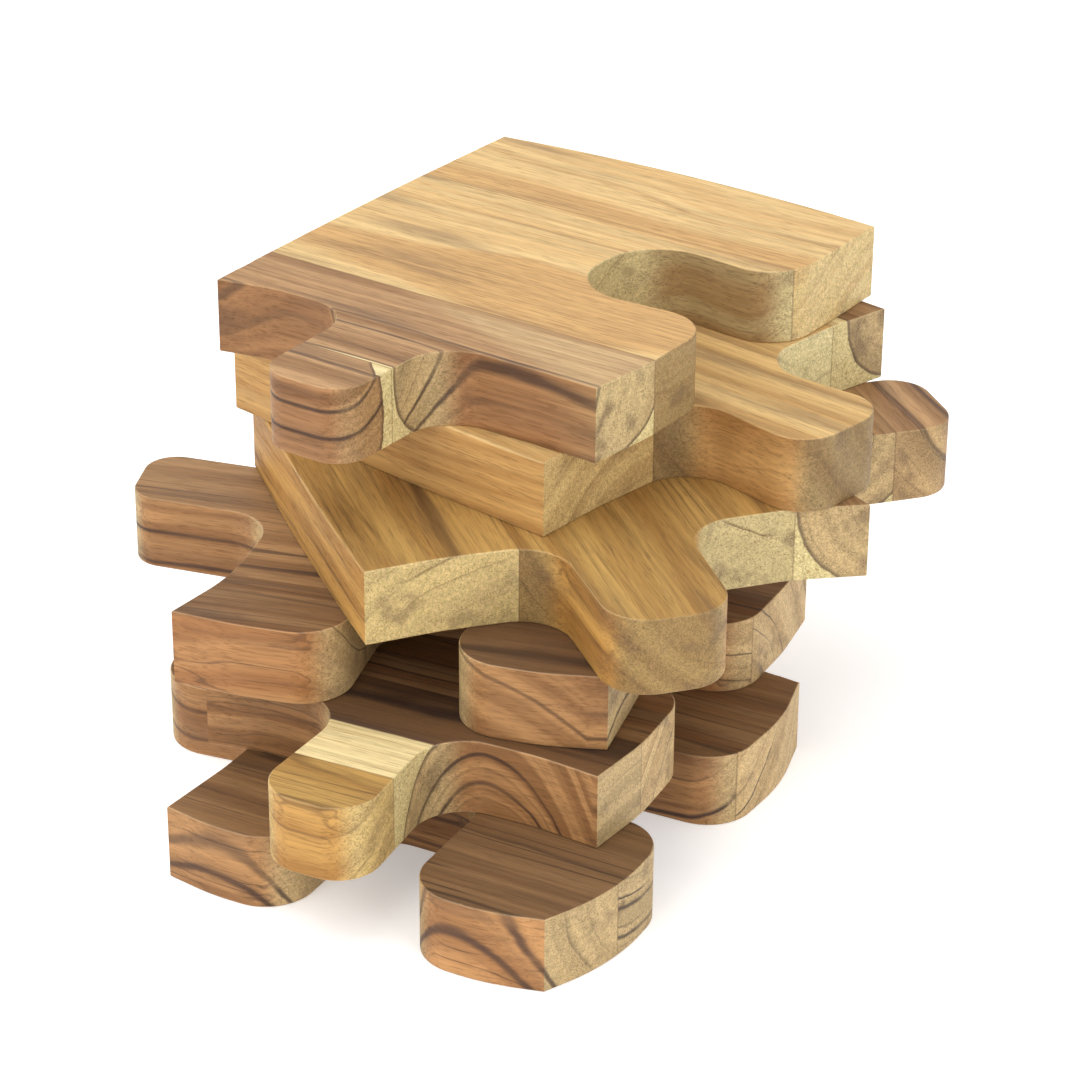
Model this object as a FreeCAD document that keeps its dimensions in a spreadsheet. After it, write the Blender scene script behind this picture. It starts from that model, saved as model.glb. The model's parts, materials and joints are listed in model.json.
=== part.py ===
import FreeCAD, Part
import math
import os

# A six-piece wooden jigsaw puzzle, stacked loose.
#
# The puzzle is sawn from one thick panel, three pieces wide and two deep, and the panel is glued up
# from five boards whose grain runs along X.  Each saw line is a wavy joint with one round tab.  A tab
# that crosses a glue line carries a tip from the next board, and a socket that crosses one leaves the
# middle board as two ears.  So every loose piece is itself four boards glued edge to edge.
#
# Everything is first drawn where it lies in the solved puzzle: X east along the grain, Y north, Z up,
# the origin near the panel's middle.  Each piece is then turned and set down in the stack.  The model's
# own origin is the middle of the stack's footprint, on the surface that the stack stands on.

DIMENSIONS = {
    # the finished panel
    "thickness": 20.0,
    "edge_radius": 0.5,
    "saw_cut": 0.5,
    # glue lines between the five boards, as Y in the solved puzzle
    "seam_south": -90.0,
    "seam_inner_south": -18.5,
    "seam_inner_north": 22.5,
    "seam_north": 91.0,
    # half of the space that the cutting boxes of the boards fill
    "cutting_reach": 250.0,
    # radii shared by all the wavy joints
    "crown_radius": 60.0,
    "shoulder_radius": 13.0,
    # how far the outer sides swell past the straight line between their corners
    "north_swell": 3.5,
    "other_swell": 1.0,
}

# The hand-sawn corners of the six cells, named by column and row: X and Y in the solved puzzle.  The
# bottom right piece was sanded shorter than the piece north of it, so it has a corner of its own.
CORNERS = {
    ("west", "south"): (-163.0, -131.0),
    ("left", "south"): (-53.5, -131.5),
    ("right", "south"): (51.5, -129.0),
    ("east", "south"): (160.5, -130.0),
    ("west", "middle"): (-168.0, 0.0),
    ("left", "middle"): (-52.0, 0.5),
    ("right", "middle"): (52.5, 0.5),
    ("east", "middle"): (164.0, -1.0),
    ("short_east", "middle"): (161.0, -1.0),
    ("west", "north"): (-169.5, 128.0),
    ("left", "north"): (-50.3, 129.5),
    ("right", "north"): (57.0, 132.0),
    ("east", "north"): (164.0, 131.0),
}

# One wavy joint for each saw line between two cells.  "ends" are the corners it runs between and
# "tab" is the way its tab points.  centre is the tab's place along the line, neck and head are its
# widths, reach is its length, and the two swells are how far the line bulges the other way beside it.
# slant is how much further the head's last corner reaches than its first.  Three of the tabs were
# sanded until they sat loose in their sockets, so they have joints of their own.
JOINT_SIZES = (
    "centre",
    "neck",
    "head",
    "reach",
    "head_radius",
    "first_swell",
    "last_swell",
    "slant",
)
JOINTS = {
    "upper_left": {
        "ends": (("left", "middle"), ("left", "north")),
        "tab": (-1, 0),
        "sizes": (66.5, 32.0, 38.5, 43.5, 16.0, 2.3, 0.5, 0.0),
    },
    "upper_left_tab": {
        "ends": (("left", "middle"), ("left", "north")),
        "tab": (-1, 0),
        "sizes": (68.5, 24.0, 36.0, 41.2, 13.0, 1.5, 0.5, 0.0),
    },
    "upper_right": {
        "ends": (("right", "middle"), ("right", "north")),
        "tab": (-1, 0),
        "sizes": (66.1, 36.0, 30.0, 40.8, 7.0, 8.5, 5.0, 0.0),
    },
    "upper_right_tab": {
        "ends": (("right", "middle"), ("right", "north")),
        "tab": (-1, 0),
        "sizes": (69.0, 27.0, 26.5, 36.2, 8.5, 6.5, 5.0, 4.4),
    },
    "lower_left": {
        "ends": (("left", "south"), ("left", "middle")),
        "tab": (1, 0),
        "sizes": (67.5, 26.5, 35.0, 40.0, 11.0, 1.5, 2.5, 0.0),
    },
    "lower_right": {
        "ends": (("right", "south"), ("right", "middle")),
        "tab": (1, 0),
        "sizes": (64.5, 33.0, 31.0, 42.5, 12.0, 1.8, 3.0, 0.0),
    },
    "middle_west": {
        "ends": (("west", "middle"), ("left", "middle")),
        "tab": (0, -1),
        "sizes": (56.0, 28.5, 27.0, 37.5, 9.0, 4.0, 0.5, 0.0),
    },
    "middle_centre": {
        "ends": (("left", "middle"), ("right", "middle")),
        "tab": (0, 1),
        "sizes": (51.2, 32.4, 32.4, 40.5, 10.5, 2.5, 4.0, 0.0),
    },
    "middle_east": {
        "ends": (("right", "middle"), ("east", "middle")),
        "tab": (0, 1),
        "sizes": (57.2, 27.4, 30.0, 42.0, 11.0, 2.0, 3.0, 0.0),
    },
    "middle_east_tab": {
        "ends": (("right", "middle"), ("short_east", "middle")),
        "tab": (0, 1),
        "sizes": (56.0, 25.0, 29.5, 42.0, 11.0, 2.0, 3.0, 0.0),
    },
}

# The six pieces, from the bottom of the stack up, named by their place in the solved puzzle.  "sides"
# run round the piece: a joint's name, or the two corners of an outer side.  "boards" are its glued
# boards, from south to north, each with the glue lines that bound it.  An ear also says on which side
# of which joint's tab it lies.  "cell" is the middle of the piece's cell in the solved puzzle.  In the
# stack that point lies at x, y from the bottom piece's, and the piece is turned by turn degrees.
PIECE_SIZES = ("level", "x", "y", "turn")
PIECES = {
    "top_middle": {
        "cell": (0.0, 65.0),
        "sides": (
            "middle_centre",
            "upper_right",
            (("right", "north"), ("left", "north")),
            "upper_left_tab",
        ),
        "boards": (
            ("left_ear", "seam_inner_south", "seam_inner_north", ("left", "middle_centre")),
            ("right_ear", "seam_inner_south", "seam_inner_north", ("right", "middle_centre")),
            ("inner_board", "seam_inner_north", "seam_north", None),
            ("edge_board", "seam_north", None, None),
        ),
        "sizes": (0, 0.0, 0.0, 0.0),
    },
    "bottom_right": {
        "cell": (114.0, -65.0),
        "sides": (
            (("right", "south"), ("east", "south")),
            (("east", "south"), ("short_east", "middle")),
            "middle_east_tab",
            "lower_right",
        ),
        "boards": (
            ("edge_board", None, "seam_south", None),
            ("inner_board", "seam_south", "seam_inner_south", None),
            ("middle_board", "seam_inner_south", "seam_inner_north", None),
            ("tab_tip", "seam_inner_north", None, None),
        ),
        "sizes": (1, -15.4, 31.4, 182.4),
    },
    "top_right": {
        "cell": (114.0, 65.0),
        "sides": (
            "middle_east",
            (("east", "middle"), ("east", "north")),
            (("east", "north"), ("right", "north")),
            "upper_right_tab",
        ),
        "boards": (
            ("left_ear", "seam_inner_south", "seam_inner_north", ("left", "middle_east")),
            ("right_ear", "seam_inner_south", "seam_inner_north", ("right", "middle_east")),
            ("inner_board", "seam_inner_north", "seam_north", None),
            ("edge_board", "seam_north", None, None),
        ),
        "sizes": (2, -17.6, 34.4, 12.2),
    },
    "bottom_middle": {
        "cell": (0.0, -65.0),
        "sides": (
            (("left", "south"), ("right", "south")),
            "lower_right",
            "middle_centre",
            "lower_left",
        ),
        "boards": (
            ("edge_board", None, "seam_south", None),
            ("inner_board", "seam_south", "seam_inner_south", None),
            ("middle_board", "seam_inner_south", "seam_inner_north", None),
            ("tab_tip", "seam_inner_north", None, None),
        ),
        "sizes": (3, -5.4, 47.5, -44.2),
    },
    "bottom_left": {
        "cell": (-114.0, -65.0),
        "sides": (
            (("west", "south"), ("left", "south")),
            "lower_left",
            "middle_west",
            (("west", "middle"), ("west", "south")),
        ),
        "boards": (
            ("edge_board", None, "seam_south", None),
            ("inner_board", "seam_south", "seam_inner_south", None),
            ("left_ear", "seam_inner_south", None, ("left", "middle_west")),
            ("right_ear", "seam_inner_south", None, ("right", "middle_west")),
        ),
        "sizes": (4, -26.6, 81.5, -14.2),
    },
    "top_left": {
        "cell": (-114.0, 65.0),
        "sides": (
            "middle_west",
            "upper_left",
            (("left", "north"), ("west", "north")),
            (("west", "north"), ("west", "middle")),
        ),
        "boards": (
            ("tab_tip", None, "seam_inner_south", None),
            ("middle_board", "seam_inner_south", "seam_inner_north", None),
            ("inner_board", "seam_inner_north", "seam_north", None),
            ("edge_board", "seam_north", None, None),
        ),
        "sizes": (5, -27.6, 78.8, -6.5),
    },
}

UP = FreeCAD.Vector(0, 0, 1)


def fill_sheet(document):
    """Put every driving size in a spreadsheet cell of its own, under a name."""
    sheet = document.addObject("Spreadsheet::Sheet", "Sizes")
    sizes = dict(DIMENSIONS)
    for (column, row), (x, y) in CORNERS.items():
        sizes[f"{column}_{row}_x"] = x
        sizes[f"{column}_{row}_y"] = y
    for name, joint in JOINTS.items():
        for key, value in zip(JOINT_SIZES, joint["sizes"]):
            sizes[f"{name}_{key}"] = value
    for name, piece in PIECES.items():
        for key, value in zip(PIECE_SIZES, piece["sizes"]):
            sizes[f"{name}_{key}"] = value
    for row, (name, value) in enumerate(sizes.items(), start=1):
        sheet.set(f"A{row}", name)
        sheet.set(f"B{row}", str(value))
        sheet.setAlias(f"B{row}", name)
    document.recompute()
    return sheet


doc = FreeCAD.newDocument("jigsaw_puzzle")
sizes = fill_sheet(doc)


def size(name):
    """The value of a named size in the sheet."""
    return float(sizes.get(name))


def corner_point(corner):
    """A cell corner in the solved puzzle."""
    column, row = corner
    return FreeCAD.Vector(size(f"{column}_{row}_x"), size(f"{column}_{row}_y"), 0)


def rounded_path(points, radii):
    """Edges from the first point to the last, with a tangent arc at each inner point."""
    edges = []
    start = points[0]
    for before, corner, after, radius in zip(points, points[1:], points[2:], radii):
        back = (before - corner).normalize()
        ahead = (after - corner).normalize()
        half_angle = back.getAngle(ahead) / 2
        cut = radius / math.tan(half_angle)
        middle = (back + ahead).normalize() * (radius / math.sin(half_angle) - radius)
        first = corner + back * cut
        last = corner + ahead * cut
        edges.append(Part.LineSegment(start, first).toShape())
        edges.append(Part.Arc(first, corner + middle, last).toShape())
        start = last
    edges.append(Part.LineSegment(start, points[-1]).toShape())
    return edges


def joint_path(name):
    """The saw line of a wavy joint, from its first corner to its last."""
    joint = JOINTS[name]
    first, last = (corner_point(end) for end in joint["ends"])
    centre, neck, head, reach, head_radius, first_swell, last_swell, slant = (
        size(f"{name}_{key}") for key in JOINT_SIZES
    )
    along = (last - first).normalize()
    across = UP.cross(along)
    if across.dot(FreeCAD.Vector(*joint["tab"], 0)) < 0:
        across = across.negative()
    length = first.distanceToPoint(last)
    shoulder_depth = 0.8
    crown_place = 0.4
    near_shoulder = centre - neck / 2
    far_shoulder = centre + neck / 2
    near_crown = near_shoulder * crown_place
    far_crown = length - (length - far_shoulder) * crown_place
    stations = (
        (0, 0),
        (near_crown, -first_swell),
        (near_shoulder, -first_swell * shoulder_depth),
        (centre - head / 2, reach),
        (centre + head / 2, reach + slant),
        (far_shoulder, -last_swell * shoulder_depth),
        (far_crown, -last_swell),
        (length, 0),
    )
    crown = size("crown_radius")
    shoulder = size("shoulder_radius")
    radii = (crown, shoulder, head_radius, head_radius, shoulder, crown)
    return rounded_path([first + along * u + across * v for u, v in stations], radii)


def outer_side(ends):
    """A gently swelling arc along the panel's edge between two corners."""
    first, last = (corner_point(end) for end in ends)
    north_side = all(row == "north" for _, row in ends)
    swell = size("north_swell") if north_side else size("other_swell")
    middle = (first + last) / 2
    outwards = (last - first).cross(UP).normalize()
    if outwards.dot(middle) < 0:
        outwards = outwards.negative()
    return [Part.Arc(first, middle + outwards * swell, last).toShape()]


def piece_outline(piece):
    """The face that a piece's saw lines and outer sides enclose, with no width sawn away."""
    edges = []
    for side in piece["sides"]:
        edges += joint_path(side) if isinstance(side, str) else outer_side(side)
    return Part.Face(Part.Wire(Part.__sortEdges__(edges)))


def bind(thing, **bindings):
    """Tie an object's properties to sizes in the sheet."""
    for path, expression in bindings.items():
        thing.setExpression(path.replace("__", "."), expression)


def plain_solid(name):
    """One whole piece as sawn and sanded, lying in the solved puzzle."""
    outline = doc.addObject("Part::Feature", f"{name}_outline")
    outline.Shape = piece_outline(PIECES[name])

    sawn = doc.addObject("Part::Offset2D", f"{name}_sawn")
    sawn.Source = outline
    sawn.Join = "Intersection"
    bind(sawn, Value="-Sizes.saw_cut / 2")

    slab = doc.addObject("Part::Extrusion", f"{name}_slab")
    slab.Base = sawn
    slab.DirMode = "Custom"
    slab.Dir = UP
    slab.Solid = True
    bind(slab, LengthFwd="Sizes.thickness")
    doc.recompute()

    sanded = doc.addObject("Part::Fillet", f"{name}_sanded")
    sanded.Base = slab
    radius = size("edge_radius")
    flat_edges = [
        number
        for number, edge in enumerate(slab.Shape.Edges, start=1)
        if edge.BoundBox.ZLength < radius
    ]
    sanded.Edges = [(number, radius, radius) for number in flat_edges]
    return sanded


def board_space(name, south, north, ear):
    """The box that cuts one board out of a piece: a strip between glue lines, or an end of one."""
    space = doc.addObject("Part::Box", f"{name}_space")
    low_y = f"Sizes.{south}" if south else "-Sizes.cutting_reach"
    high_y = f"Sizes.{north}" if north else "Sizes.cutting_reach"
    low_x = "-Sizes.cutting_reach"
    high_x = "Sizes.cutting_reach"
    if ear:
        side, joint = ear
        column, row = JOINTS[joint]["ends"][0]
        tab_x = f"(Sizes.{column}_{row}_x + Sizes.{joint}_centre)"
        if side == "left":
            high_x = tab_x
        else:
            low_x = tab_x
    bind(
        space,
        Length=f"{high_x} - ({low_x})",
        Width=f"{high_y} - ({low_y})",
        Height="2 * Sizes.cutting_reach",
        Placement__Base__x=low_x,
        Placement__Base__y=low_y,
        Placement__Base__z="-Sizes.cutting_reach",
    )
    return space


def stack_placement(name):
    """Where a piece lies in the stack, measured from the bottom piece's cell."""
    cell = FreeCAD.Vector(*PIECES[name]["cell"], 0)
    level, x, y, turn = (size(f"{name}_{key}") for key in PIECE_SIZES)
    target = FreeCAD.Vector(x, y, level * size("thickness"))
    return FreeCAD.Placement(target - cell, FreeCAD.Rotation(UP, turn), cell)


def glued_boards(name):
    """The boards of one piece, each its own solid, set down in the stack."""
    piece = PIECES[name]
    whole = plain_solid(name)
    boards = []
    for part_name, south, north, ear in piece["boards"]:
        board_name = f"{name}_{part_name}"
        board = doc.addObject("Part::Common", board_name)
        board.Label = board_name
        board.Base = whole
        board.Tool = board_space(board_name, south, north, ear)
        board.Placement = stack_placement(name)
        boards.append(board)
    return boards


def centre_footprint(boards):
    """Move the whole stack so that its bounding box stands centred on the origin."""
    box = FreeCAD.BoundBox()
    for board in boards:
        box.add(board.Shape.BoundBox)
    shift = FreeCAD.Vector(-box.Center.x, -box.Center.y, -box.ZMin)
    for board in boards:
        moved = board.Placement
        moved.Base = moved.Base + shift
        board.Placement = moved


def check_document(boards):
    """Stop if any object failed, or if a board isn't one valid solid."""
    for thing in doc.Objects:
        if "Invalid" in thing.State or "Error" in thing.State:
            raise RuntimeError(f"{thing.Name} failed: {thing.State}")
    for board in boards:
        shape = board.Shape
        if shape.isNull() or not shape.isValid() or len(shape.Solids) != 1:
            raise RuntimeError(f"{board.Name} isn't one valid solid")


all_boards = []
for piece_name in PIECES:
    all_boards += glued_boards(piece_name)
doc.recompute()
centre_footprint(all_boards)
doc.recompute()
check_document(all_boards)

os.makedirs("parts", exist_ok=True)
for board in all_boards:
    board.Shape.exportStep(f"parts/{board.Label}.step")
print(f"wrote {len(all_boards)} boards")
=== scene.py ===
"""A stack of six thick wooden jigsaw pieces on a pale studio floor.

Every board of the puzzle is a CAD node and keeps its shape.  This script gives each one solid wood that
runs through it: growth rings round a pith of its own, heartwood and sapwood, fibres, pores, end grain,
sanded edges and glue lines.  Painted light and shade are mixed into the colour too: the flat tops of the
lower pieces are painted darker (partly darker wood, partly shade from the pieces above), the upright
faces carry tints that are partly painted shade and light, and the pale edges are partly a painted
highlight.  The wood is worked out in the solved puzzle's own millimetres, X along the grain, so it turns
with each piece in the stack and runs on from one piece to the next.
"""

import json
import math

import bpy
from mathutils import Matrix, Vector


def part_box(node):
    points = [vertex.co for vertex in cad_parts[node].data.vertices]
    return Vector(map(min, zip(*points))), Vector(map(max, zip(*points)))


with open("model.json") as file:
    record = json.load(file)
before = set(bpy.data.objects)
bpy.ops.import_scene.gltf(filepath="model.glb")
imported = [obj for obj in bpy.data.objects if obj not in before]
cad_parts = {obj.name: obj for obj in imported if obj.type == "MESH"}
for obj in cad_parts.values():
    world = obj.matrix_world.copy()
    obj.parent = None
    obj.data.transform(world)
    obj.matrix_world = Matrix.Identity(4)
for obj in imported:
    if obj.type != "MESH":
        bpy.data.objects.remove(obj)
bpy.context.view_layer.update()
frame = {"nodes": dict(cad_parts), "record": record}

MILLIMETRE = 0.001

# ---------------------------------------------------------------- where each piece lies

# Each piece's cell centre in the solved puzzle (mm), where that point lies in the stack, measured from
# the bottom piece's (mm), and how far the piece is turned (degrees).
PIECES = {
    "top_middle": {"cell": (0.0, 65.0), "place": (0.0, 0.0), "turn": 0.0},
    "bottom_right": {"cell": (114.0, -65.0), "place": (-15.4, 31.4), "turn": 182.4},
    "top_right": {"cell": (114.0, 65.0), "place": (-17.6, 34.4), "turn": 12.2},
    "bottom_middle": {"cell": (0.0, -65.0), "place": (-5.4, 47.5), "turn": -44.2},
    "bottom_left": {"cell": (-114.0, -65.0), "place": (-26.6, 81.5), "turn": -14.2},
    "top_left": {"cell": (-114.0, 65.0), "place": (-27.6, 78.8), "turn": -6.5},
}

# Glue lines between the panel's five boards, as Y in the solved puzzle (mm).
GLUE_LINES = (-90.0, -18.5, 22.5, 91.0)

mounts = {mount["name"]: mount for mount in frame["record"]["mounts"]}
stack_origin = Vector(mounts["rest_face"]["pos_m"])


def to_panel(piece, bottom):
    """The turn and shift (mm) that take a point in the stack to its place in the solved puzzle."""
    place = PIECES[piece]
    turn = math.radians(place["turn"])
    target = stack_origin / MILLIMETRE + Vector((*place["place"], 0))
    target.z = bottom / MILLIMETRE
    shift = Vector((*place["cell"], 0)) - Matrix.Rotation(-turn, 3, "Z") @ target
    return -turn, shift


# ---------------------------------------------------------------- a small kit for shader graphs


class Graph:
    """Builds one material's nodes.  Values passed between its methods are sockets or plain numbers."""

    def __init__(self, name):
        self.material = bpy.data.materials.new(name)
        self.material.use_nodes = True
        self.tree = self.material.node_tree
        self.tree.nodes.clear()

    def node(self, kind, **settings):
        made = self.tree.nodes.new(kind)
        for key, value in settings.items():
            setattr(made, key, value)
        return made

    def feed(self, socket, value):
        """Link a socket into another, or set it to a plain value."""
        if isinstance(value, bpy.types.NodeSocket):
            self.tree.links.new(value, socket)
        else:
            socket.default_value = value

    def math(self, operation, *values, clamp=False):
        made = self.node("ShaderNodeMath", operation=operation, use_clamp=clamp)
        for socket, value in zip(made.inputs, values):
            self.feed(socket, value)
        return made.outputs[0]

    def add(self, a, b):
        return self.math("ADD", a, b)

    def subtract(self, a, b):
        return self.math("SUBTRACT", a, b)

    def multiply(self, a, b):
        return self.math("MULTIPLY", a, b)

    def blend_between(self, value, low, high, start=0.0, end=1.0):
        """A smooth step: start where value is at low, end where it is at high."""
        made = self.node("ShaderNodeMapRange", interpolation_type="SMOOTHSTEP")
        for key, number in (
            ("Value", value),
            ("From Min", low),
            ("From Max", high),
            ("To Min", start),
            ("To Max", end),
        ):
            self.feed(made.inputs[key], number)
        return made.outputs["Result"]

    def scaled(self, vector, scale, offset=(0.0, 0.0, 0.0)):
        made = self.node("ShaderNodeVectorMath", operation="MULTIPLY_ADD")
        self.feed(made.inputs[0], vector)
        self.feed(made.inputs[1], scale)
        self.feed(made.inputs[2], offset)
        return made.outputs[0]

    def noise(self, vector, lengths, seed, detail=2.0, roughness=0.5):
        """Noise whose features are about lengths (mm) long along X, Y and Z."""
        scale = tuple(1.0 / length for length in lengths)
        made = self.node("ShaderNodeTexNoise", noise_dimensions="3D")
        made.inputs["Scale"].default_value = 1.0
        made.inputs["Detail"].default_value = detail
        made.inputs["Roughness"].default_value = roughness
        self.feed(made.inputs["Vector"], self.scaled(vector, scale, (seed, -seed, 0.37 * seed)))
        return made.outputs["Fac"], made.outputs["Color"]

    def noise_along(self, value, length, seed, detail=2.0):
        """Noise of one value, with features about length long."""
        made = self.node("ShaderNodeTexNoise", noise_dimensions="1D")
        made.inputs["Scale"].default_value = 1.0 / length
        made.inputs["Detail"].default_value = detail
        self.feed(made.inputs["W"], self.add(value, seed * length))
        return made.outputs["Fac"]

    def random(self, value):
        made = self.node("ShaderNodeTexWhiteNoise", noise_dimensions="1D")
        self.feed(made.inputs["W"], value)
        return made.outputs["Value"]

    def mix(self, share, first, second, blend="MIX"):
        made = self.node("ShaderNodeMix", data_type="RGBA", blend_type=blend)
        self.feed(made.inputs[0], share)
        self.feed(made.inputs[6], first)
        self.feed(made.inputs[7], second)
        return made.outputs[2]


def rgb(red, green, blue):
    """A linear colour from ordinary display values, 0 to 255."""

    def linear(value):
        value /= 255.0
        return value / 12.92 if value <= 0.04045 else ((value + 0.055) / 1.055) ** 2.4

    return (linear(red), linear(green), linear(blue), 1.0)


# ---------------------------------------------------------------- wood

HEARTS = {
    "golden": {"pale": rgb(222, 190, 132), "deep": rgb(200, 158, 102), "line": rgb(128, 92, 60)},
    "straw": {"pale": rgb(216, 180, 120), "deep": rgb(186, 146, 90), "line": rgb(110, 80, 50)},
    "olive": {"pale": rgb(204, 164, 96), "deep": rgb(172, 130, 70), "line": rgb(98, 70, 42)},
    "tan": {"pale": rgb(200, 158, 112), "deep": rgb(170, 124, 82), "line": rgb(74, 56, 48)},
    "sand": {"pale": rgb(200, 168, 122), "deep": rgb(172, 136, 94), "line": rgb(96, 72, 52)},
    "brown": {"pale": rgb(187, 147, 103), "deep": rgb(149, 111, 74), "line": rgb(66, 48, 42)},
}

CREAM = rgb(224, 203, 150)
CREAM_STREAK = rgb(170, 136, 82)
SMEAR = rgb(112, 86, 66)
END_PALE = rgb(236, 218, 166)
END_DULL = rgb(128, 104, 72)
PORE = rgb(84, 58, 38)
EDGE_WEAR_AND_HIGHLIGHT = rgb(238, 214, 170)
GLUE = rgb(92, 64, 40)

# How much darker the flat tops of the lower pieces are painted: partly darker wood, partly painted shade.
UNSHADED_TOP = (1.0, 1.0, 1.0, 1.0)
LIGHT_TOP_SHADE_AND_TONE = (0.80, 0.78, 0.74, 1.0)
HALF_TOP_SHADE_AND_TONE = (0.58, 0.54, 0.48, 1.0)
DARK_TOP_SHADE_AND_TONE = (0.44, 0.41, 0.38, 1.0)
DEEP_TOP_SHADE_AND_TONE = (0.30, 0.26, 0.24, 1.0)

# Tints on the upright faces along the grain: partly the wood's tone, partly painted shade and painted
# light.
SIDE_TONE_AND_SHADE = (0.87, 0.76, 0.62, 1.0)
RUDDY_SIDE_TONE_AND_SHADE = (0.74, 0.62, 0.52, 1.0)
DULL_SIDE_TONE_AND_SHADE = (0.54, 0.56, 0.58, 1.0)
BRIGHT_SIDE_TONE_AND_LIGHT = (1.08, 0.94, 0.76, 1.0)

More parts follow.
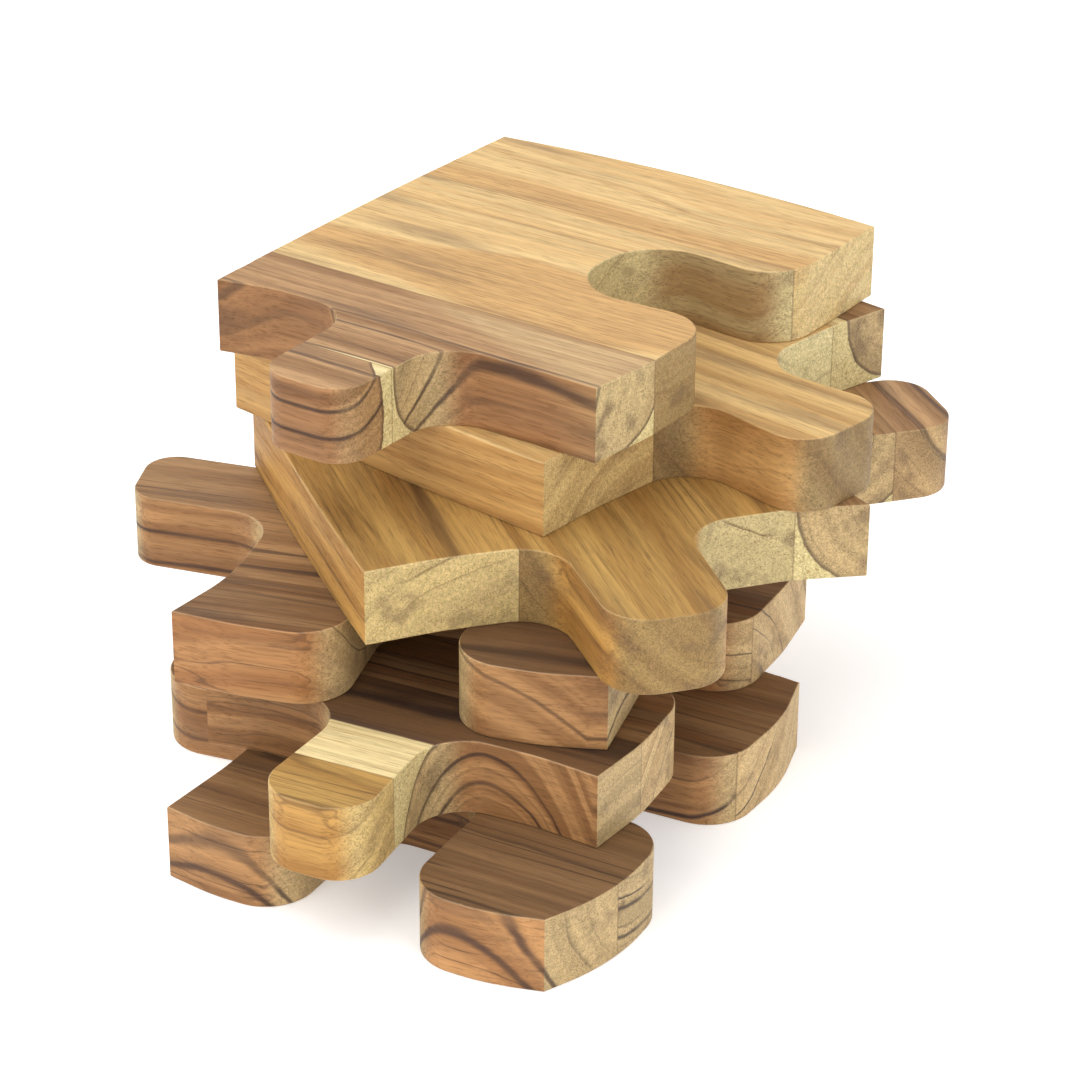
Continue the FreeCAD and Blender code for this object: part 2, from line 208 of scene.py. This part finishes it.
# One entry for each board: the heartwood's colours, the pith that its rings run round as Y and Z in the
# solved puzzle (mm, Z from the underside), the mean ring width (mm), how dark the ring lines are, and
# the tint of its flat faces, partly darker wood and partly painted shade.  The rest are left out where a
# board doesn't need them:
#   sides   the tint of its upright faces along the grain, partly tone and partly painted shade and light
#   wander  how far the grain strays from straight (mm)
#   rings   single strong dark rings, as distances from the pith (mm)
#   arch    where along the grain the rings crest on upright faces, and the radius of that crest (mm)
#   sap     where sapwood begins: a circle's middle as Y and Z, and its radius (mm)
#   taper   how fast that radius grows either way along the grain (mm per mm), and from which X
#   smears  how dark the smears along the grain are
#   streaks  how dark the long thin streaks along the grain are
#   pale    how pale the end grain is, or how dull where it is below zero
#   paler   a greater paleness, and the Y from which and to which the end grain takes it on (mm)
#   fades   the heartwood it turns into, and the line across it where it does: at X, at Y, and Y per X
BOARDS = {
    "top_left_tab_tip": {
        "heart": "brown", "pith": (-40, 34), "ring": 7.0, "lines": 0.4, "flat": UNSHADED_TOP, "wander": 2.5,
        "rings": (20.5, 27.5), "sap": (-60, 10, 37), "taper": (1.0, -99), "pale": 0.0,
        "sides": RUDDY_SIDE_TONE_AND_SHADE,
    },
    "top_left_middle_board": {
        "heart": "brown", "pith": (-34, 30), "ring": 6.5, "lines": 0.6, "flat": UNSHADED_TOP, "wander": 8,
        "rings": (33, 38.5), "sap": (4, 17, 20), "taper": (0.05, -51), "pale": 0.3, "smears": 0.6,
        "fades": ("sand", -120, 22, -0.35), "sides": RUDDY_SIDE_TONE_AND_SHADE,
    },
    "top_left_inner_board": {
        "heart": "golden", "pith": (40, 75), "ring": 9.0, "lines": 0.35, "flat": UNSHADED_TOP, "smears": 0.5,
        "pale": -0.6, "paler": (0.6, 46, 54), "streaks": 0.2, "sides": DULL_SIDE_TONE_AND_SHADE,
    },
    "top_left_edge_board": {
        "heart": "golden", "pith": (150, -60), "ring": 9.0, "lines": 0.3, "flat": UNSHADED_TOP, "smears": 0.4,
        "streaks": 0.2,
    },
    "bottom_left_edge_board": {
        "heart": "straw", "pith": (-60, -90), "ring": 6.0, "lines": 0.3, "flat": UNSHADED_TOP, "smears": 0.3,
        "pale": 0.2,
    },
    "bottom_left_inner_board": {
        "heart": "straw", "pith": (-20, 50), "ring": 7.0, "lines": 0.45, "flat": UNSHADED_TOP, "pale": -0.75,
        "paler": (0.9, -48, -38), "sides": RUDDY_SIDE_TONE_AND_SHADE,
    },
    "bottom_left_left_ear": {
        "heart": "brown", "pith": (5, 19), "ring": 5.5, "lines": 0.8, "flat": LIGHT_TOP_SHADE_AND_TONE, "wander": 3,
        "sap": (5, 19, 18.3),
    },
    "bottom_left_right_ear": {
        "heart": "brown", "pith": (5, 19), "ring": 5.5, "lines": 0.5, "flat": LIGHT_TOP_SHADE_AND_TONE, "wander": 3,
        "sap": (5, 19, 18.3),
    },
    "bottom_middle_edge_board": {
        "heart": "olive", "pith": (-60, -90), "ring": 6.5, "lines": 0.7, "flat": LIGHT_TOP_SHADE_AND_TONE, "pale": 0.45,
        "streaks": 0.45,
    },
    "bottom_middle_inner_board": {
        "heart": "olive", "pith": (-20, 50), "ring": 7.5, "lines": 0.8, "flat": LIGHT_TOP_SHADE_AND_TONE, "pale": -0.6,
        "paler": (0.5, -55, -46), "streaks": 0.45,
    },
    "bottom_middle_middle_board": {
        "heart": "brown", "pith": (6, 20), "ring": 5.5, "lines": 0.6, "flat": LIGHT_TOP_SHADE_AND_TONE, "wander": 3,
        "sap": (6, 20, 24),
    },
    "bottom_middle_tab_tip": {
        "heart": "brown", "pith": (62, 34), "ring": 6.5, "lines": 1.0, "flat": UNSHADED_TOP, "rings": (20, 27, 34),
        "pale": 0.15,
    },
    "top_right_left_ear": {
        "heart": "tan", "pith": (30, 30), "ring": 6.0, "lines": 0.8, "flat": DARK_TOP_SHADE_AND_TONE, "streaks": 0.5,
    },
    "top_right_right_ear": {
        "heart": "brown", "pith": (14, -14), "ring": 7.0, "lines": 0.4, "flat": DEEP_TOP_SHADE_AND_TONE, "wander": 4,
        "rings": (35.8,), "arch": (129, 30),
    },
    "top_right_inner_board": {
        "heart": "brown", "pith": (60, 62), "ring": 7.0, "lines": 1.0, "flat": LIGHT_TOP_SHADE_AND_TONE, "wander": 5,
        "rings": (52, 61), "streaks": 0.7,
    },
    "top_right_edge_board": {
        "heart": "brown", "pith": (150, -60), "ring": 6.0, "lines": 0.6, "flat": LIGHT_TOP_SHADE_AND_TONE, "streaks": 0.5,
    },
    "bottom_right_edge_board": {
        "heart": "tan", "pith": (-50, -30), "ring": 7.0, "lines": 1.1, "flat": DARK_TOP_SHADE_AND_TONE,
        "streaks": 0.5,
    },
    "bottom_right_inner_board": {
        "heart": "tan", "pith": (-75, -30), "ring": 6.0, "lines": 1.1, "flat": DARK_TOP_SHADE_AND_TONE,
        "streaks": 0.6,
    },
    "bottom_right_middle_board": {
        "heart": "brown", "pith": (-15, -7), "ring": 6.0, "lines": 0.4, "flat": DARK_TOP_SHADE_AND_TONE, "wander": 3,
        "rings": (20.8, 27.5), "arch": (84, 14), "sap": (-15, -7, 33), "streaks": 0.4,
    },
    "bottom_right_tab_tip": {
        "heart": "olive", "pith": (15, -20), "ring": 7.0, "lines": 0.8, "flat": LIGHT_TOP_SHADE_AND_TONE, "smears": 0.35,
        "streaks": 0.5,
    },
    "top_middle_left_ear": {
        "heart": "brown", "pith": (43, 30), "ring": 6.5, "lines": 0.5, "flat": HALF_TOP_SHADE_AND_TONE, "wander": 4,
        "rings": (46, 49.5), "arch": (-47, 90), "streaks": 0.6,
    },
    "top_middle_right_ear": {
        "heart": "brown", "pith": (43, 30), "ring": 6.5, "lines": 0.5, "flat": DARK_TOP_SHADE_AND_TONE, "wander": 4,
        "rings": (45.5, 49.5), "arch": (23, 60), "streaks": 0.7, "sides": BRIGHT_SIDE_TONE_AND_LIGHT,
    },
    "top_middle_inner_board": {
        "heart": "brown", "pith": (40, 60), "ring": 6.5, "lines": 1.1, "flat": DARK_TOP_SHADE_AND_TONE, "wander": 5,
        "rings": (49, 57), "streaks": 0.7,
    },
    "top_middle_edge_board": {
        "heart": "tan", "pith": (60, 60), "ring": 6.5, "lines": 1.1, "flat": DARK_TOP_SHADE_AND_TONE, "streaks": 0.6,
    },
}


def piece_of(board_name):
    """The loose piece that a board belongs to."""
    return next(name for name in PIECES if board_name.startswith(name + "_"))


def panel_point(graph, board_name):
    """The shaded point in the solved puzzle (mm), and how nearly it faces along the grain and up."""
    piece = piece_of(board_name)
    turn, shift = to_panel(piece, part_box(board_name)[0].z)
    coordinates = graph.node("ShaderNodeTexCoord")

    mapping = graph.node("ShaderNodeMapping", vector_type="POINT")
    mapping.inputs["Location"].default_value = shift
    mapping.inputs["Rotation"].default_value = (0.0, 0.0, turn)
    mapping.inputs["Scale"].default_value = (1.0 / MILLIMETRE,) * 3
    graph.feed(mapping.inputs["Vector"], coordinates.outputs["Object"])

    facing = graph.node("ShaderNodeMapping", vector_type="POINT")
    facing.inputs["Rotation"].default_value = (0.0, 0.0, turn)
    graph.feed(facing.inputs["Vector"], coordinates.outputs["Normal"])
    parts = graph.node("ShaderNodeSeparateXYZ")
    graph.feed(parts.inputs[0], facing.outputs[0])
    along_grain = graph.math("ABSOLUTE", parts.outputs["X"])
    upwards = graph.math("ABSOLUTE", parts.outputs["Z"])
    return mapping.outputs[0], along_grain, upwards


def wood(board_name, seed):
    """Solid wood for one board."""
    look = BOARDS[board_name]
    heart = HEARTS[look["heart"]]
    graph = Graph(board_name + "_wood")
    point, along_grain, upwards = panel_point(graph, board_name)
    parts = graph.node("ShaderNodeSeparateXYZ")
    graph.feed(parts.inputs[0], point)
    x, y, z = parts.outputs["X"], parts.outputs["Y"], parts.outputs["Z"]

    # Slow and quick wanderings of the grain, which carry the rings and the sapwood with them.
    _, slow = graph.noise(point, (95.0, 42.0, 42.0), seed, detail=1.0)
    _, quick = graph.noise(point, (22.0, 6.0, 6.0), seed + 3.1, detail=2.0)
    slow_parts = graph.node("ShaderNodeSeparateColor")
    graph.feed(slow_parts.inputs[0], slow)
    quick_parts = graph.node("ShaderNodeSeparateColor")
    graph.feed(quick_parts.inputs[0], quick)
    slow_wander = look.get("wander", 11.0)
    quick_wander = 1.3

    def wandered(value, channel):
        shifted = graph.multiply(graph.subtract(slow_parts.outputs[channel], 0.5), slow_wander)
        shaken = graph.multiply(graph.subtract(quick_parts.outputs[channel], 0.5), quick_wander)
        return graph.add(value, graph.add(shifted, shaken))

    y_wandered = wandered(y, 0)
    z_wandered = wandered(z, 1)

    def distance_from(middle_y, middle_z, height):
        off_y = graph.subtract(y_wandered, middle_y)
        off_z = graph.subtract(height, middle_z)
        return graph.math("SQRT", graph.add(graph.multiply(off_y, off_y), graph.multiply(off_z, off_z)))

    arched = z_wandered
    if "arch" in look:
        crest, crest_radius = look["arch"]
        widest = 30.0
        off_crest = graph.math("MINIMUM", graph.math("ABSOLUTE", graph.subtract(x, crest)), widest)
        fall_away = graph.multiply(graph.multiply(off_crest, off_crest), 0.5 / crest_radius)
        fall_away = graph.multiply(fall_away, graph.blend_between(upwards, 0.5, 0.9, 1.0, 0.0))
        arched = graph.add(z_wandered, fall_away)
    radius = distance_from(*look["pith"], arched)

    # Rings of uneven width, each with a dark line of its own strength at its outer edge.
    unevenness = 1.6
    uneven = graph.multiply(graph.noise_along(radius, 2.2 * look["ring"], seed), unevenness)
    ring = graph.add(graph.multiply(radius, 1.0 / look["ring"]), uneven)
    number = graph.math("FLOOR", graph.add(ring, seed))
    share = graph.math("FRACT", graph.add(ring, seed))
    rise = graph.blend_between(share, 0.82, 0.95)
    fall = graph.blend_between(share, 0.955, 0.999, 1.0, 0.0)
    strength = graph.blend_between(graph.random(number), 0.1, 0.9, 0.2, 1.0)
    fading, _ = graph.noise(point, (60.0, 16.0, 16.0), seed + 7.7)
    fading = graph.blend_between(fading, 0.35, 0.6, 0.3, 1.0)
    line = graph.multiply(graph.multiply(rise, fall), graph.multiply(strength, fading))
    darkest_line = 0.95
    line = graph.math("MINIMUM", graph.multiply(line, look["lines"]), darkest_line)
    ring_core, ring_edge, ring_darkness, least_fading = 0.15, 0.9, 0.85, 0.7
    for dark_ring in look.get("rings", ()):
        distance = graph.math("ABSOLUTE", graph.subtract(radius, dark_ring))
        dark = graph.blend_between(distance, ring_core, ring_edge, ring_darkness, 0.0)
        dark = graph.multiply(dark, graph.math("MAXIMUM", fading, least_fading))
        line = graph.math("MAXIMUM", line, dark)

    # Bands of tone that follow the rings, then dark smears that follow the grain.
    bands = graph.noise_along(radius, 7.0, seed + 1.3, detail=3.0)
    bands = graph.blend_between(bands, 0.34, 0.66)
    colour = graph.mix(bands, heart["deep"], heart["pale"])
    if "fades" in look:
        other, at_x, at_y, slope = look["fades"]
        leaning = graph.subtract(y_wandered, graph.multiply(graph.subtract(x, at_x), slope))
        turned = graph.blend_between(leaning, at_y - 3.0, at_y + 4.0)
        other_colour = graph.mix(bands, HEARTS[other]["deep"], HEARTS[other]["pale"])
        colour = graph.mix(turned, colour, other_colour)
    end_face = graph.blend_between(along_grain, 0.35, 0.85)
    colour = with_end_colour(graph, colour, look, y_wandered, end_face)
    smear, _ = graph.noise(point, (75.0, 8.0, 8.0), seed + 15.0, detail=2.0)
    smears = look.get("smears", 0.5)
    colour = graph.mix(graph.blend_between(smear, 0.52, 0.74, 0.0, smears), colour, SMEAR)
    colour = graph.mix(line, colour, heart["line"])
    if "streaks" in look:
        colour = with_long_streaks(graph, colour, heart, point, end_face, look["streaks"], seed)
    # Painted shade: the flat tint darkens upward faces, partly for darker wood, partly for shade from
    # pieces above.
    painted_top_shade_mask = graph.blend_between(upwards, 0.6, 0.95)
    colour = graph.mix(painted_top_shade_mask, colour, graph.mix(1.0, colour, look["flat"], "MULTIPLY"))

    if "sap" in look:
        middle_y, middle_z, edge = look["sap"]
        sap_radius = distance_from(middle_y, middle_z, z_wandered)
        if "taper" in look:
            rate, given_at = look["taper"]
            away = graph.math("ABSOLUTE", graph.subtract(x, given_at))
            sap_radius = graph.subtract(sap_radius, graph.multiply(away, rate))
        colour = with_sapwood(graph, colour, heart, point, sap_radius, edge, seed)

    colour, pores = with_fibres(graph, colour, point, along_grain, share, seed)
    # Upright faces along the grain take a tint that is partly tone, partly painted shade and light.
    side_tint = look.get("sides", SIDE_TONE_AND_SHADE)
    colour = with_worked_surfaces_and_painted_light(graph, colour, point, y, end_face, upwards, side_tint, seed)

    shader = graph.node("ShaderNodeBsdfPrincipled")
    graph.feed(shader.inputs["Base Color"], colour)
    shader.inputs["Specular IOR Level"].default_value = 0.3
    base_roughness = 0.56
    roughness = graph.add(graph.multiply(pores, 0.18), graph.multiply(bands, -0.05))
    graph.feed(shader.inputs["Roughness"], graph.add(roughness, base_roughness))

    bump = graph.node("ShaderNodeBump")
    bump.inputs["Strength"].default_value = 0.3
    bump.inputs["Distance"].default_value = 0.0002
    height = graph.subtract(1.0, pores)
    graph.feed(bump.inputs["Height"], height)
    graph.feed(shader.inputs["Normal"], bump.outputs[0])

    output = graph.node("ShaderNodeOutputMaterial")
    graph.feed(output.inputs["Surface"], shader.outputs[0])
    return graph.material


def with_end_colour(graph, colour, look, y, end_face):
    """Bare sawn end grain, paler or duller than the heartwood inside."""
    pale = look.get("pale", 0.3)
    end_colour = END_PALE if pale >= 0 else END_DULL
    colour = graph.mix(graph.multiply(end_face, abs(pale)), colour, end_colour)
    if "paler" in look:
        paleness, low, high = look["paler"]
        share = graph.multiply(end_face, graph.blend_between(y, low, high, 0.0, paleness))
        colour = graph.mix(share, colour, END_PALE)
    return colour


def with_long_streaks(graph, colour, heart, point, end_face, darkness, seed):
    """Thin dark streaks that run a long way along the grain, one every few millimetres."""
    course, _ = graph.noise(point, (170.0, 5.0, 5.0), seed + 31.0, detail=1.0)
    off_course = graph.math("ABSOLUTE", graph.subtract(course, 0.5))
    streak = graph.blend_between(off_course, 0.004, 0.03, darkness, 0.0)
    patches, _ = graph.noise(point, (60.0, 9.0, 9.0), seed + 33.0, detail=1.0)
    streak = graph.multiply(streak, graph.blend_between(patches, 0.4, 0.58))
    streak = graph.multiply(streak, graph.subtract(1.0, end_face))
    return graph.mix(streak, colour, heart["line"])


def with_sapwood(graph, colour, heart, point, radius, edge, seed):
    """Cream sapwood outside the heartwood, with a dark wavy border between them."""
    streaks, _ = graph.noise(point, (90.0, 1.4, 1.4), seed + 11.0, detail=3.0)
    streaks = graph.blend_between(streaks, 0.54, 0.68)
    cream = graph.mix(graph.multiply(streaks, 0.55), CREAM, CREAM_STREAK)
    outside = graph.blend_between(radius, edge - 0.1, edge + 0.4)
    inner_border = graph.blend_between(radius, edge - 1.3, edge - 0.2)
    border_darkness = 0.65
    colour = graph.mix(graph.multiply(inner_border, border_darkness), colour, heart["line"])
    return graph.mix(outside, colour, cream)


def with_fibres(graph, colour, point, along_grain, share, seed):
    """Fine streaks along the grain, and pores that are dashes along it and dots across it."""
    streak, _ = graph.noise(point, (48.0, 1.1, 1.1), seed + 5.0, detail=4.0, roughness=0.6)
    shade = graph.blend_between(streak, 0.3, 0.7, 0.86, 1.12)
    grey = graph.node("ShaderNodeCombineColor")
    for socket in grey.inputs:
        graph.feed(socket, shade)
    colour = graph.mix(1.0, colour, grey.outputs[0], "MULTIPLY")

    pore, _ = graph.noise(point, (7.0, 0.36, 0.36), seed + 9.0, detail=1.0)
    early = graph.blend_between(share, 0.0, 0.5, 0.52, 0.575)
    pores = graph.blend_between(pore, early, graph.add(early, 0.09))
    dark = graph.blend_between(along_grain, 0.3, 0.8, 0.26, 0.42)
    colour = graph.mix(graph.multiply(pores, dark), colour, PORE)
    return colour, pores


def with_worked_surfaces_and_painted_light(graph, colour, point, y, end_face, upwards, side_tint, seed):
    """Speckled end grain, painted shade and light on upright sides, worn edges with a painted highlight,
    glue lines.
    """
    speckle, _ = graph.noise(point, (3.0, 0.5, 0.5), seed + 21.0, detail=2.0, roughness=0.6)
    end_tint = graph.mix(graph.blend_between(speckle, 0.3, 0.7), rgb(222, 226, 208), rgb(255, 255, 255))
    colour = graph.mix(end_face, colour, graph.mix(1.0, colour, end_tint, "MULTIPLY"))

    # Painted shade and light, with some of the wood's tone, on the upright faces along the grain.
    upright = graph.blend_between(upwards, 0.2, 0.8, 1.0, 0.0)
    side_face = graph.multiply(graph.subtract(1.0, end_face), upright)
    colour = graph.mix(side_face, colour, graph.mix(1.0, colour, side_tint, "MULTIPLY"))

    # Pale rims where faces turn from up to sideways: partly sanding wear, partly a painted highlight.
    edge_wear_and_highlight = graph.multiply(
        graph.blend_between(upwards, 0.1, 0.45),
        graph.blend_between(upwards, 0.75, 0.99, 1.0, 0.0),
    )
    edge_wear_and_highlight_paleness = 0.07
    colour = graph.mix(graph.multiply(edge_wear_and_highlight, edge_wear_and_highlight_paleness), colour, EDGE_WEAR_AND_HIGHLIGHT)

    glue_width = 0.14
    glue_darkness = 0.4
    for glue_line in GLUE_LINES:
        distance = graph.math("ABSOLUTE", graph.subtract(y, glue_line))
        glue = graph.blend_between(distance, glue_width, 2 * glue_width, glue_darkness, 0.0)
        colour = graph.mix(glue, colour, GLUE)
    return colour


# Each board's noise starts from a seed of its own.
FIRST_SEED = 1.0
SEED_STEP = 2.7
for index, name in enumerate(sorted(BOARDS)):
    board = frame["nodes"][name]
    board.data.materials.clear()
    board.data.materials.append(wood(name, FIRST_SEED + SEED_STEP * index))


# ---------------------------------------------------------------- floor, light and camera


def backlit_material(name, colour, roughness, glow):
    """A plain material that also glows, like white acrylic lit from beneath."""
    graph = Graph(name)
    shader = graph.node("ShaderNodeBsdfPrincipled")
    shader.inputs["Base Color"].default_value = colour
    shader.inputs["Roughness"].default_value = roughness
    shader.inputs["Emission Color"].default_value = (1.0, 1.0, 1.0, 1.0)
    shader.inputs["Emission Strength"].default_value = glow
    output = graph.node("ShaderNodeOutputMaterial")
    graph.feed(output.inputs["Surface"], shader.outputs[0])
    return graph.material


def add_floor():
    """A wide pale floor."""
    half = 6.0
    roughness = 0.9
    glow = 0.3
    mesh = bpy.data.meshes.new("floor")
    corners = [(-half, -half, 0), (half, -half, 0), (half, half, 0), (-half, half, 0)]
    mesh.from_pydata(corners, [], [(0, 1, 2, 3)])
    mesh.materials.append(backlit_material("floor_acrylic", rgb(246, 246, 246), roughness, glow))
    floor = bpy.data.objects.new("floor", mesh)
    bpy.context.scene.collection.objects.link(floor)


def add_area_light(name, position, size, power, target):
    """A square soft light at position (m), turned to target."""
    light = bpy.data.lights.new(name, "AREA")
    light.shape = "SQUARE"
    light.size = size
    light.energy = power
    made = bpy.data.objects.new(name, light)
    made.location = position
    made.rotation_euler = (Vector(target) - Vector(position)).to_track_quat("-Z", "Y").to_euler()
    bpy.context.scene.collection.objects.link(made)


def add_lights():
    """A white tent: even light from all round, a large soft box above, and three round the stack."""
    tent_strength = 0.75
    world = bpy.data.worlds.new("tent")
    world.use_nodes = True
    world.node_tree.nodes["Background"].inputs["Color"].default_value = (1.0, 1.0, 1.0, 1.0)
    world.node_tree.nodes["Background"].inputs["Strength"].default_value = tent_strength
    bpy.context.scene.world = world
    middle = (0.0, 0.0, 0.06)
    # Each box's name, its place and size (m), and its power (W).
    for name, position, size, power in (
        ("top_box", (-0.25, -0.15, 1.3), 1.1, 6.5),
        ("front_box", (-0.2, -1.5, 0.9), 1.0, 7.0),
        ("right_box", (1.4, -0.5, 0.8), 1.0, 8.0),
        ("left_box", (-1.5, -0.4, 0.8), 1.0, 5.0),
    ):
        add_area_light(name, position, size, power, middle)


# The camera looks down on the stack's south-east side through a long lens.  The target and distance are
# in metres, the lens and its sensor in millimetres, and the lens's small shift in frame widths.
CAMERA_TARGET = Vector((0.0142, -0.0023, 0.060))
CAMERA_DISTANCE = 0.890
CAMERA_AZIMUTH = math.radians(28.21)
CAMERA_PITCH = math.radians(26.73)
CAMERA_ROLL = math.radians(0.38)
SENSOR_WIDTH = 36.0
LENS = 116.3
SHIFT_RIGHT = 0.000926
SHIFT_UP = -0.005556


def add_camera():
    data = bpy.data.cameras.new("camera")
    data.sensor_width = SENSOR_WIDTH
    data.lens = LENS
    data.shift_x = SHIFT_RIGHT
    data.shift_y = SHIFT_UP
    data.clip_start = 0.05
    camera = bpy.data.objects.new("camera", data)
    turn = Matrix.Rotation(CAMERA_AZIMUTH, 4, "Z")
    tilt = Matrix.Rotation(math.pi / 2 - CAMERA_PITCH, 4, "X")
    roll = Matrix.Rotation(CAMERA_ROLL, 4, "Z")
    camera.matrix_world = (
        Matrix.Translation(CAMERA_TARGET) @ turn @ tilt @ roll @ Matrix.Translation((0, 0, CAMERA_DISTANCE))
    )
    bpy.context.scene.collection.objects.link(camera)
    bpy.context.scene.camera = camera


add_floor()
add_lights()
add_camera()
bpy.context.scene.view_settings.view_transform = "Standard"
